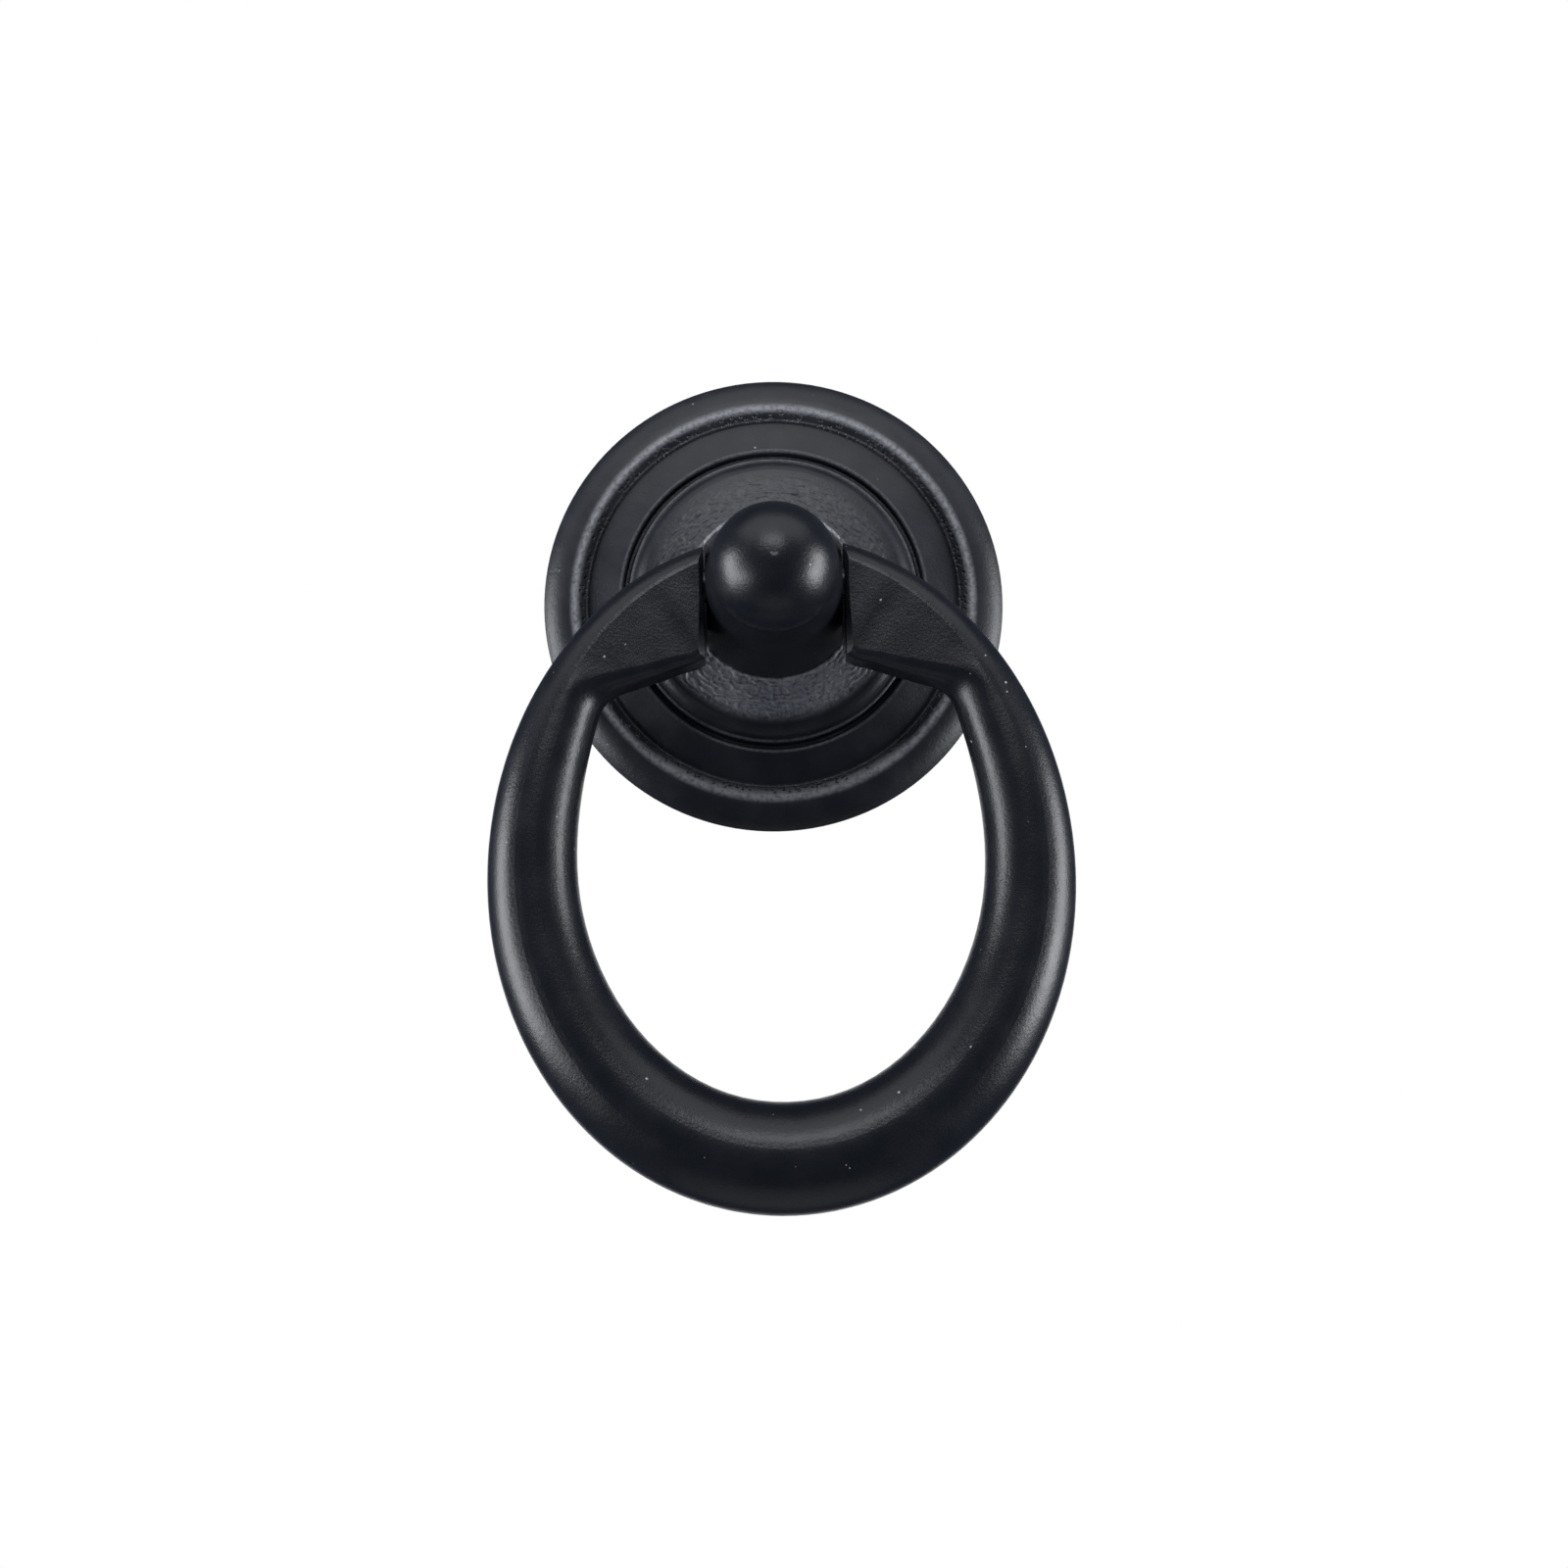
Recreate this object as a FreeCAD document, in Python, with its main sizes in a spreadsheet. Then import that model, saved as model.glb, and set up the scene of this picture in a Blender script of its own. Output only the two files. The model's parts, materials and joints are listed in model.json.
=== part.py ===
import FreeCAD, Part
import math
import os
import Sketcher

# A ring pull handle: a round rosette, a ball-ended post at its centre, and an oval ring hung from the post.
# Everything is drawn as on a bench, lying on its back: +X right, +Y up the door, +Z out from the door.
# A quarter turn about X then stands it up: +Z up, the door's face at Y = 0 and the ball towards -Y.

SIZES = {
    # Rosette, as radii from its axis and reaches out from the door
    "rosette_radius": 21.0,
    "rim_radius": 20.4,
    "edge_reach": 1.0,
    "crest_radius": 18.0,
    "crest_reach": 2.45,
    "crease_radius": 16.75,
    "crease_reach": 1.94,
    "lip_radius": 13.78,
    "lip_reach": 3.02,
    "lip_rounding": 0.3,
    "groove_width": 0.65,
    "groove_depth": 0.7,
    "groove_wall_run": 0.22,
    "ledge_width": 0.33,
    "ledge_drop": 0.05,
    "ledge_rounding": 0.12,
    "shoulder_radius": 11.8,
    "shoulder_reach": 4.2,
    "shoulder_curve": 1.6,
    "seat_reach": 5.0,
    "seat_margin": 0.3,
    "hollow_radius": 15.4,
    "hollow_edge_depth": 0.6,
    "hollow_depth": 2.2,
    "boss_radius": 8.8,
    # Post
    "spigot_radius": 4.0,
    "spigot_clearance": 0.05,
    "foot_radius": 7.65,
    "foot_edge": 0.35,
    "neck_radius": 5.3,
    "ball_radius": 5.55,
    "ball_reach": 16.68,
    "flat_half_width": 6.0,
    "thread_core_radius": 1.65,
    "thread_depth": 6.5,
    "drill_point": 0.95,
    "pivot_reach": 9.6,
    # Ring
    "ring_width": 51.1,
    "ring_fullness": 0.0215,
    "ring_top": 4.4,
    "ring_bottom": 55.07,
    "end_tube_radius": 2.5,
    "shoulder_tube_radius": 2.87,
    "neck_tube_radius": 2.98,
    "rise_tube_radius": 3.22,
    "upper_tube_radius": 3.53,
    "side_tube_radius": 3.92,
    "hip_tube_radius": 4.28,
    "lower_tube_radius": 4.58,
    "heel_tube_radius": 4.76,
    "bottom_tube_radius": 4.84,
    "end_gap": 0.2,
    "end_chamfer": 0.3,
    "pad_end_drop": 6.9,
    "pad_shoulder_side": 15.05,
    "pad_shoulder_drop": 9.9,
    "pad_end_half_thickness": 2.25,
    "pad_shoulder_half_thickness": 2.8,
    "pad_ridge_rounding": 0.9,
    "pad_edge_rounding": 0.8,
    "pad_shoulder_rounding": 1.9,
    "peg_radius": 1.5,
    "peg_clearance": 0.06,
    "peg_length": 4.2,
}

# Stations round the oval, in degrees from its top: the flat-faced pad's, then the round tube's and its radii
PAD_STATIONS = (12, 17, 22, 27, 32, 37, 41, 44, 47)
TUBE_STATIONS = (
    (52, "neck_tube_radius"),
    (60, "rise_tube_radius"),
    (69, "upper_tube_radius"),
    (90, "side_tube_radius"),
    (112.5, "hip_tube_radius"),
    (135, "lower_tube_radius"),
    (157.5, "heel_tube_radius"),
    (180, "bottom_tube_radius"),
)
# Where the round sections are divided, in degrees from the ring's outer side, to match the pad's corners
DIVISIONS = (72, 80, 100, 158)
# The pad's lower edges stay crisp near the post and soften towards the tube, by this power of the way there
ROUNDING_GROWTH = 3
TOLERANCE = 0.001

doc = FreeCAD.newDocument("RingPull")
sizes = doc.addObject("Spreadsheet::Sheet", "Sizes")
for row, (alias, value) in enumerate(SIZES.items(), start=1):
    sizes.set(f"A{row}", alias)
    sizes.set(f"B{row}", str(value))
    sizes.setAlias(f"B{row}", alias)
doc.recompute()


def value_of(formula):
    """The number that a formula of the sheet's sizes comes to now."""
    result = sizes.evalExpression(formula)
    return float(getattr(result, "Value", result))


def arc_centre(start, end, radius, turn):
    """Centre of the arc of less than half a turn from start to end; turn is 1 anticlockwise, -1 clockwise."""
    chord = end - start
    rise = math.sqrt(radius ** 2 - (chord.Length / 2) ** 2)
    side = FreeCAD.Vector(-chord.y, chord.x, 0).normalize()
    return (start + end) * 0.5 + side * rise * turn


def add_outline(sketch, corners, arcs=None):
    """Closes an outline through corners, pairs of formulas, and ties each corner to them.

    arcs gives, for the edge that starts at a corner's index, its radius formula and its turn."""
    arcs = arcs or {}
    points = [FreeCAD.Vector(value_of(x), value_of(y), 0) for x, y in corners]
    ends = []
    for index, start in enumerate(points):
        finish = points[(index + 1) % len(points)]
        if index not in arcs:
            edge = sketch.addGeometry(Part.LineSegment(start, finish))
            ends.append((edge, 1, 2))
            continue
        radius, turn = arcs[index]
        centre = arc_centre(start, finish, value_of(radius), turn)
        first, last = (start, finish) if turn > 0 else (finish, start)
        angles = [math.atan2(p.y - centre.y, p.x - centre.x) for p in (first, last)]
        circle = Part.Circle(centre, FreeCAD.Vector(0, 0, 1), value_of(radius))
        edge = sketch.addGeometry(Part.ArcOfCircle(circle, *angles))
        ends.append((edge, 1, 2) if turn > 0 else (edge, 2, 1))
        tie(sketch, Sketcher.Constraint("Radius", edge, value_of(radius)), radius)
    for index, (edge, start_end, finish_end) in enumerate(ends):
        following = ends[(index + 1) % len(ends)]
        sketch.addConstraint(Sketcher.Constraint("Coincident", edge, finish_end, following[0], following[1]))
    for (edge, start_end, _), point, (x, y) in zip(ends, points, corners):
        place(sketch, edge, start_end, "DistanceX", -2, point.x, x)
        place(sketch, edge, start_end, "DistanceY", -1, point.y, y)


def place(sketch, edge, end, kind, axis, value, formula):
    """Ties one coordinate of an edge's end to a formula, or lays the end on the axis if that is zero."""
    if formula == "0":
        sketch.addConstraint(Sketcher.Constraint("PointOnObject", edge, end, axis))
    else:
        tie(sketch, Sketcher.Constraint(kind, -1, 1, edge, end, value), formula)


def tie(sketch, constraint, formula):
    """Adds a constraint whose value follows a formula."""
    index = sketch.addConstraint(constraint)
    sketch.setExpression(f"Constraints[{index}]", formula)


def new_body(name):
    """A named piece."""
    body = doc.addObject("PartDesign::Body", name)
    body.Label = name
    return body


def new_sketch(body, name, role):
    """A sketch on one of the piece's own origin planes."""
    sketch = body.newObject("Sketcher::SketchObject", name)
    plane = next(item for item in body.Origin.OriginFeatures if item.Role == role)
    sketch.AttachmentSupport = [(plane, "")]
    sketch.MapMode = "FlatFace"
    return sketch


def turned(body, name, corners, arcs):
    """Turns a closed outline of radii and reaches about the piece's axis."""
    sketch = new_sketch(body, f"{name}_profile", "XZ_Plane")
    add_outline(sketch, corners, arcs)
    revolution = body.newObject("PartDesign::Revolution", name)
    revolution.Profile = sketch
    revolution.ReferenceAxis = (sketch, ["V_Axis"])
    revolution.Angle = 360
    sketch.Visibility = False
    doc.recompute()
    return revolution


def circular_edges(shape, places):
    """Names of the edges that are circles of one of the given pairs of radius and reach."""
    names = []
    for number, edge in enumerate(shape.Edges, start=1):
        if not isinstance(edge.Curve, Part.Circle):
            continue
        found = (edge.Curve.Radius, edge.Curve.Center.z)
        if any(math.dist(found, wanted) < TOLERANCE for wanted in places):
            names.append(f"Edge{number}")
    return names


def round_edge(body, name, base, corner, radius):
    """Rounds the circular edge at one corner of the turned outline."""
    rounding = body.newObject("PartDesign::Fillet", name)
    rounding.Base = (base, circular_edges(base.Shape, [tuple(value_of(formula) for formula in corner)]))
    rounding.setExpression("Radius", radius)
    doc.recompute()
    return rounding


def removed(before, feature):
    """Stops unless a cut took something away."""
    doc.recompute()
    if feature.Shape.Volume >= before - TOLERANCE:
        raise RuntimeError(f"{feature.Label} cuts nothing")


# Rosette: one casting, hollow at the back between its rim and its central boss
LEDGE_EDGE = "Sizes.lip_radius - Sizes.groove_width"
LEDGE_REACH = "Sizes.lip_reach - Sizes.ledge_drop"
GROOVE_FLOOR = "Sizes.lip_reach - Sizes.groove_depth"
BORE = "Sizes.spigot_radius + Sizes.spigot_clearance"


def level_arc(run, rise):
    """Radius of the arc that starts level and comes down by rise over run."""
    return f"(({run}) ^ 2 + ({rise}) ^ 2) / (2 * ({rise}))"


BEAD_OUTER_RUN = "Sizes.rosette_radius - Sizes.crest_radius"
BEAD_INNER_RUN = "Sizes.crest_radius - Sizes.crease_radius"
BEAD_OUTER_CURVE = level_arc(BEAD_OUTER_RUN, "Sizes.crest_reach - Sizes.edge_reach")
BEAD_INNER_CURVE = level_arc(BEAD_INNER_RUN, "Sizes.crest_reach - Sizes.crease_reach")


def make_rosette():
    body = new_body("rosette")
    corners = [
        (BORE, "0"),
        ("Sizes.boss_radius", "0"),
        ("Sizes.boss_radius", "Sizes.hollow_depth"),
        ("Sizes.hollow_radius", "Sizes.hollow_edge_depth"),
        ("Sizes.hollow_radius", "0"),
        ("Sizes.rim_radius", "0"),
        ("Sizes.rosette_radius", "Sizes.edge_reach"),
        ("Sizes.crest_radius", "Sizes.crest_reach"),
        ("Sizes.crease_radius", "Sizes.crease_reach"),
        ("Sizes.lip_radius", "Sizes.lip_reach"),
        ("Sizes.lip_radius - Sizes.groove_wall_run", GROOVE_FLOOR),
        (f"{LEDGE_EDGE} + Sizes.groove_wall_run", GROOVE_FLOOR),
        (LEDGE_EDGE, LEDGE_REACH),
        (f"{LEDGE_EDGE} - Sizes.ledge_width", LEDGE_REACH),
        ("Sizes.shoulder_radius", "Sizes.shoulder_reach"),
        ("Sizes.foot_radius + Sizes.seat_margin", "Sizes.seat_reach"),
        (BORE, "Sizes.seat_reach"),
    ]
    arcs = {6: (BEAD_OUTER_CURVE, 1), 7: (BEAD_INNER_CURVE, 1), 13: ("Sizes.shoulder_curve", 1)}
    disc = turned(body, "rosette_disc", corners, arcs)
    lipped = round_edge(body, "groove_lip", disc, corners[9], "Sizes.lip_rounding")
    round_edge(body, "ledge_edge", lipped, corners[12], "Sizes.ledge_rounding")
    return body


# Post: one casting with a spigot through the rosette, a tapered stem with a flat on each side, and a ball
BALL_FOOT = "Sizes.ball_reach - sqrt(Sizes.ball_radius ^ 2 - Sizes.neck_radius ^ 2)"


def make_post():
    body = new_body("post")
    corners = [
        ("0", "0"),
        ("Sizes.spigot_radius", "0"),
        ("Sizes.spigot_radius", "Sizes.seat_reach"),
        ("Sizes.foot_radius", "Sizes.seat_reach"),
        ("Sizes.foot_radius", "Sizes.seat_reach + Sizes.foot_edge"),
        ("Sizes.neck_radius", BALL_FOOT),
        ("0", "Sizes.ball_reach + Sizes.ball_radius"),
    ]
    turned(body, "post_stem", corners, {5: ("Sizes.ball_radius", 1)})

    flats = new_sketch(body, "side_flats_outline", "XZ_Plane")
    for side in ("", "-1 * "):
        add_outline(flats, [
            (f"{side}Sizes.flat_half_width", "Sizes.seat_reach"),
            (f"{side}Sizes.rosette_radius", "Sizes.seat_reach"),
            (f"{side}Sizes.rosette_radius", BALL_FOOT),
            (f"{side}Sizes.flat_half_width", BALL_FOOT),
        ])
    cut_through(body, "side_flats", flats)

    bore = new_sketch(body, "peg_bore_outline", "YZ_Plane")
    middle = FreeCAD.Vector(0, value_of("Sizes.pivot_reach"), 0)
    loose = "Sizes.peg_radius + Sizes.peg_clearance"
    circle = bore.addGeometry(Part.Circle(middle, FreeCAD.Vector(0, 0, 1), value_of(loose)))
    tie(bore, Sketcher.Constraint("Radius", circle, value_of(loose)), loose)
    place(bore, circle, 3, "DistanceX", -2, 0, "0")
    place(bore, circle, 3, "DistanceY", -1, middle.y, "Sizes.pivot_reach")
    cut_through(body, "peg_bore", bore)

    screw = new_sketch(body, "screw_hole_profile", "XZ_Plane")
    add_outline(screw, [
        ("0", "0"),
        ("Sizes.thread_core_radius", "0"),
        ("Sizes.thread_core_radius", "Sizes.thread_depth"),
        ("0", "Sizes.thread_depth + Sizes.drill_point"),
    ])
    before = body.Shape.Volume
    hole = body.newObject("PartDesign::Groove", "screw_hole")
    hole.Profile = screw
    hole.ReferenceAxis = (screw, ["V_Axis"])
    hole.Angle = 360
    removed(before, hole)
    return body


def cut_through(body, name, sketch):
    """Cuts an outline out of the piece, both ways through it."""
    doc.recompute()
    before = body.Shape.Volume
    pocket = body.newObject("PartDesign::Pocket", name)
    pocket.Profile = sketch
    pocket.Type = "ThroughAll"
    pocket.Midplane = True
    removed(before, pocket)
    return pocket


# Ring: one casting, an oval tube that is open at the top, where it grows a flat pad and a peg at each end
HALF_WIDTH = "(Sizes.ring_width / 2)"
HALF_HEIGHT = "((Sizes.ring_top + Sizes.ring_bottom) / 2)"
CENTRE = "((Sizes.ring_top - Sizes.ring_bottom) / 2)"
PAD_END = "(Sizes.flat_half_width + Sizes.end_gap)"
PAD_RUN = f"(Sizes.pad_shoulder_side - {PAD_END})"
PAD_FALL = "(Sizes.pad_shoulder_drop - Sizes.pad_end_drop)"


def outline_point(angle):
    """Formulas for the outline's point at an angle from the ring's top, and for its outward direction."""
    sine, cosine = f"sin({angle})", f"cos({angle})"
    slope = f"sqrt(({HALF_HEIGHT} * {sine}) ^ 2 + ({HALF_WIDTH} * {cosine}) ^ 2)"
    sideways = f"({HALF_WIDTH} * {sine} * (1 - Sizes.ring_fullness * {cosine}))"
    point = (sideways, f"({CENTRE} + {HALF_HEIGHT} * {cosine})")
    outward = (f"({HALF_HEIGHT} * {sine} / {slope})", f"({HALF_WIDTH} * {cosine} / {slope})")
    return point, outward


def pad_height(angle):
    """Formula for the distance from the ring's outline straight in to the pad's lower edge line."""
    (x, y), (out_x, out_y) = outline_point(angle)
    reach = f"(({x} - {PAD_END}) * {PAD_FALL} + ({y} + Sizes.pad_end_drop) * {PAD_RUN})"
    return f"({reach} / ({out_x} * {PAD_FALL} + {out_y} * {PAD_RUN}))"


def pad_section(angle):
    """Outline of the flat-faced section at a pad station, its arcs, and its tube's radius."""
    share = (angle - PAD_STATIONS[0]) / (PAD_STATIONS[-1] - PAD_STATIONS[0])

    def between(end, shoulder, part):
        return f"(Sizes.{end} + (Sizes.{shoulder} - Sizes.{end}) * {part})"

    tube = between("end_tube_radius", "shoulder_tube_radius", share)
    half = between("pad_end_half_thickness", "pad_shoulder_half_thickness", share)
    edge = between("pad_edge_rounding", "pad_shoulder_rounding", share ** ROUNDING_GROWTH)
    ridge = "Sizes.pad_ridge_rounding"
    low = f"({pad_height(angle)} - {tube})"
    ridge_out = f"sqrt(({tube} - {ridge}) ^ 2 - ({half} - {ridge}) ^ 2)"
    spread = f"({tube} / ({tube} - {ridge}))"
    front = [
        (f"-1 * {low}", f"{half} - {edge}"),
        (f"{edge} - {low}", half),
        (ridge_out, half),
        (f"{spread} * {ridge_out}", f"{spread} * ({half} - {ridge})"),
    ]
    arcs = {0: (tube, -1), 1: (ridge, -1), 3: (edge, -1), 5: (edge, -1), 7: (ridge, -1)}
    return both_sides(front), arcs, tube


def tube_section(size):
    """Outline of a round section, divided as a pad's is, its arcs, and its radius."""
    tube = f"Sizes.{size}"
    front = [(f"{tube} * cos({turn})", f"{tube} * sin({turn})") for turn in reversed(DIVISIONS)]
    return both_sides(front), {index: (tube, -1) for index in range(2 * len(front))}, tube


def both_sides(front):
    """A section's corners from its outer front corner round its back, from those of its front half."""
    back = [(along, f"-1 * ({out})") for along, out in reversed(front)]
    return [front[-1]] + back + front[:-1]


def make_blank():
    """Lofts the ring from one pad down its side, round the bottom and up to the other pad."""
    half = [(angle, pad_section(angle)) for angle in PAD_STATIONS]
    half += [(angle, tube_section(size)) for angle, size in TUBE_STATIONS]
    round_trip = half + [(360 - angle, section) for angle, section in reversed(half[:-1])]
    sections = []
    for number, (angle, (corners, arcs, tube)) in enumerate(round_trip, start=1):
        (x, y), (out_x, out_y) = outline_point(angle)
        across = FreeCAD.Rotation(FreeCAD.Vector(1, 0, 0), 90)
        lean = math.degrees(math.atan2(value_of(out_y), value_of(out_x)))
        turn = FreeCAD.Rotation(FreeCAD.Vector(0, 0, 1), lean) * across
        section = free_sketch(f"ring_section_{number}", FreeCAD.Placement(FreeCAD.Vector(), turn))
        section.setExpression("Placement.Base.x", f"{x} - {tube} * {out_x}")
        section.setExpression("Placement.Base.y", f"{y} - {tube} * {out_y}")
        section.setExpression("Placement.Base.z", "Sizes.pivot_reach")
        add_outline(section, corners, arcs)
        section.Visibility = False
        sections.append(section)
    blank = doc.addObject("Part::Loft", "ring_blank")
    blank.Sections = sections
    blank.Solid = True
    blank.Ruled = False
    return blank


def free_sketch(name, placement):
    """A sketch in a plane of its own."""
    sketch = doc.addObject("Sketcher::SketchObject", name)
    sketch.Placement = placement
    return sketch


def make_gap():
    """The room for the post between the pads' ends, with each end's front and back corners chamfered."""
    along = FreeCAD.Rotation(FreeCAD.Vector(1, 0, 0), 90)
    sketch = free_sketch("ring_gap_outline", FreeCAD.Placement(FreeCAD.Vector(), along))
    sketch.setExpression("Placement.Base.z", "Sizes.pivot_reach")
    half = "Sizes.pad_end_half_thickness"
    flare = f"{PAD_END} + Sizes.end_chamfer + {half}"
    front = [
        (flare, f"2 * {half}"),
        (PAD_END, f"{half} - Sizes.end_chamfer"),
        (PAD_END, f"-1 * {half} + Sizes.end_chamfer"),
        (flare, f"-2 * {half}"),
    ]
    add_outline(sketch, front + [(f"-1 * ({x})", y) for x, y in reversed(front)])
    gap = doc.addObject("Part::Extrusion", "ring_gap")
    gap.Base = sketch
    gap.DirMode = "Normal"
    gap.Solid = True
    gap.setExpression("LengthFwd", "2 * Sizes.pad_end_drop")
    gap.setExpression("LengthRev", "2 * Sizes.ring_top")
    sketch.Visibility = False
    return gap


def make_ring():
    opened = doc.addObject("Part::Cut", "ring_opened")
    opened.Base = make_blank()
    opened.Tool = make_gap()
    ring = doc.addObject("Part::MultiFuse", "ring")
    ring.Shapes = [opened] + [make_peg(side) for side in ("right", "left")]
    ring.Refine = True
    ring.Label = "ring"
    return ring


def make_peg(side):
    """The round peg that stands out of a pad's end into the post."""
    peg = doc.addObject("Part::Cylinder", f"peg_{side}")
    peg.setExpression("Radius", "Sizes.peg_radius")
    peg.setExpression("Height", "Sizes.peg_length + Sizes.peg_radius")
    peg.Placement.Rotation = FreeCAD.Rotation(FreeCAD.Vector(0, 1, 0), 90)
    start = f"{PAD_END} - Sizes.peg_length" if side == "right" else f"-1 * ({PAD_END} + Sizes.peg_radius)"
    peg.setExpression("Placement.Base.x", start)
    peg.setExpression("Placement.Base.z", "Sizes.pivot_reach")
    return peg


pieces = [make_rosette(), make_post(), make_ring()]
stand_up = FreeCAD.Placement(FreeCAD.Vector(), FreeCAD.Rotation(FreeCAD.Vector(1, 0, 0), 90))
for piece in pieces:
    piece.Placement = stand_up
doc.recompute()

for item in doc.Objects:
    if "Invalid" in item.State or "Error" in item.State:
        raise RuntimeError(f"{item.Label} failed: {item.State}")
os.makedirs("parts", exist_ok=True)
for piece in pieces:
    shape = piece.Shape
    if shape.isNull() or not shape.isValid() or len(shape.Solids) != 1:
        raise RuntimeError(f"{piece.Label} is not one valid solid")
    shape.exportStep(f"parts/{piece.Label}.step")
    box = shape.BoundBox
    print(f"{piece.Label}: volume {shape.Volume:.1f} mm3, x {box.XMin:.2f} to {box.XMax:.2f}, "
          f"y {box.YMin:.2f} to {box.YMax:.2f}, z {box.ZMin:.2f} to {box.ZMax:.2f}")
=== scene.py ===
import json
import logging
import math
from dataclasses import dataclass
from enum import Enum

import bpy
from mathutils import Matrix, Vector

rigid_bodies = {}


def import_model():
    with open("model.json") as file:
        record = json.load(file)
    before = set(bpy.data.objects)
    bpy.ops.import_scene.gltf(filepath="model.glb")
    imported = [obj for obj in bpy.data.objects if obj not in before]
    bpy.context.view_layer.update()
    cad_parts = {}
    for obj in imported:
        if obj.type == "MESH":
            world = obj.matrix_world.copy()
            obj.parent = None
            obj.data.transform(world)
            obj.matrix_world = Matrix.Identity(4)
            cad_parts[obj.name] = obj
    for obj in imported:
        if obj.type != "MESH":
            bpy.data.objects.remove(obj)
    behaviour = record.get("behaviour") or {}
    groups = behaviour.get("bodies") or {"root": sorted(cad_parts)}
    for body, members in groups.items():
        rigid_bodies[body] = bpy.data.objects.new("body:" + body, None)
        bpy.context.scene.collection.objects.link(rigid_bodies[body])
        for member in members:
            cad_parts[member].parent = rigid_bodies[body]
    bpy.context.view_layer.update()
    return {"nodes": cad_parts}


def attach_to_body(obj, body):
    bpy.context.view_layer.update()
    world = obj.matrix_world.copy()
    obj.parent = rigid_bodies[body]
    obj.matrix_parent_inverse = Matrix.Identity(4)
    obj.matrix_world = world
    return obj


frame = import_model()

MM = 0.001
MERGE_DISTANCE = 0.001 * MM
PHOTO_WIDTH = 1600
SENSOR_WIDTH = 36.0
WHITE = (1.0, 1.0, 1.0, 1.0)
NUMBER = "NodeSocketFloat"
VECTOR = "NodeSocketVector"
# A quarter turn about X, which points a primitive's axis out from the door
FACING_OUT = (math.pi / 2, 0.0, 0.0)
LOG = logging.getLogger("ring_pull_handle")

Source = bpy.types.NodeSocket | float | tuple[float, ...]


class Body(Enum):
    """The two bodies that a piece can ride on."""

    BASE = "base"
    RING = "ring"


class Slot(Enum):
    """The record's two paint slots."""

    CAST = "cast_black"
    SMOOTH = "smooth_black"


class Graph:
    """Adds nodes to one node tree and joins them."""

    # The colour sockets of a Mix node, which shares its sockets' names among its types
    MIX_FIRST = 6
    MIX_SECOND = 7
    MIX_RESULT = 2

    def __init__(self, tree: bpy.types.NodeTree) -> None:
        """Keeps the tree that the nodes go into."""
        self.tree = tree

    def feed(self, socket: bpy.types.NodeSocket, value: Source) -> None:
        """Links an output to an input, or writes a plain value there.

        Args:
            socket: The input.
            value: An output to link, or the number or colour to write.
        """
        if isinstance(value, bpy.types.NodeSocket):
            self.tree.links.new(value, socket)
        else:
            socket.default_value = value

    def add(
        self, kind: str, feeds: dict[str | int, Source] | None = None, **options: object
    ) -> bpy.types.Node:
        """Adds a node.

        Args:
            kind: The node's type name.
            feeds: What goes into its inputs, by the input's name or number.
            **options: The node's own settings.

        Returns:
            The new node.
        """
        node = self.tree.nodes.new(kind)
        for name, setting in options.items():
            setattr(node, name, setting)
        for key, value in (feeds or {}).items():
            self.feed(node.inputs[key], value)
        return node

    def compute(self, operation: str, first: Source, second: Source = 0.0) -> bpy.types.NodeSocket:
        """Works out one step of arithmetic.

        Args:
            operation: The Math node's operation.
            first: Its first term.
            second: Its second term.

        Returns:
            The result's output.
        """
        return self.add("ShaderNodeMath", {0: first, 1: second}, operation=operation).outputs[0]

    def ramp(
        self, value: Source, start: float, end: float, lit_below: float = 0.0, high: float = 1.0
    ) -> bpy.types.NodeSocket:
        """Eases a value from one number to another between two limits.

        Args:
            value: What is read.
            start: Where the change starts.
            end: Where it ends.
            lit_below: The result up to start.
            high: The result from end on.

        Returns:
            The result's output.
        """
        feeds = {"Value": value, "From Min": start, "From Max": end, "To Min": lit_below, "To Max": high}
        return self.add("ShaderNodeMapRange", feeds, interpolation_type="SMOOTHSTEP").outputs["Result"]

    def noise(self, place: Source, size: Source, detail: float) -> bpy.types.NodeSocket:
        """Makes cloudy noise about zero.

        Args:
            place: The coordinates it is read at.
            size: The width of its lumps, in metres.
            detail: How many finer layers it has.

        Returns:
            Its output, from about -0.5 to 0.5.
        """
        feeds = {"Vector": place, "Scale": self.compute("DIVIDE", 1.0, size), "Detail": detail}
        texture = self.add("ShaderNodeTexNoise", feeds)
        return self.compute("SUBTRACT", texture.outputs[0], 0.5)

    def cells(self, place: Source, spacing: Source) -> bpy.types.Node:
        """Scatters points over the surface, each in a cell of its own.

        Args:
            place: The coordinates they are read at.
            spacing: How far apart they lie, in metres.

        Returns:
            The node, which gives each cell's colour and the distance from its point.
        """
        feeds = {"Vector": place, "Scale": self.compute("DIVIDE", 1.0, spacing)}
        return self.add("ShaderNodeTexVoronoi", feeds)

    def mix(self, share: Source, first: Source, second: Source) -> bpy.types.NodeSocket:
        """Mixes two colours.

        Args:
            share: How much of the second shows.
            first: The first colour.
            second: The second colour.

        Returns:
            The mixed colour's output.
        """
        feeds = {"Factor": share, self.MIX_FIRST: first, self.MIX_SECOND: second}
        return self.add("ShaderNodeMix", feeds, data_type="RGBA").outputs[self.MIX_RESULT]


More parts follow.
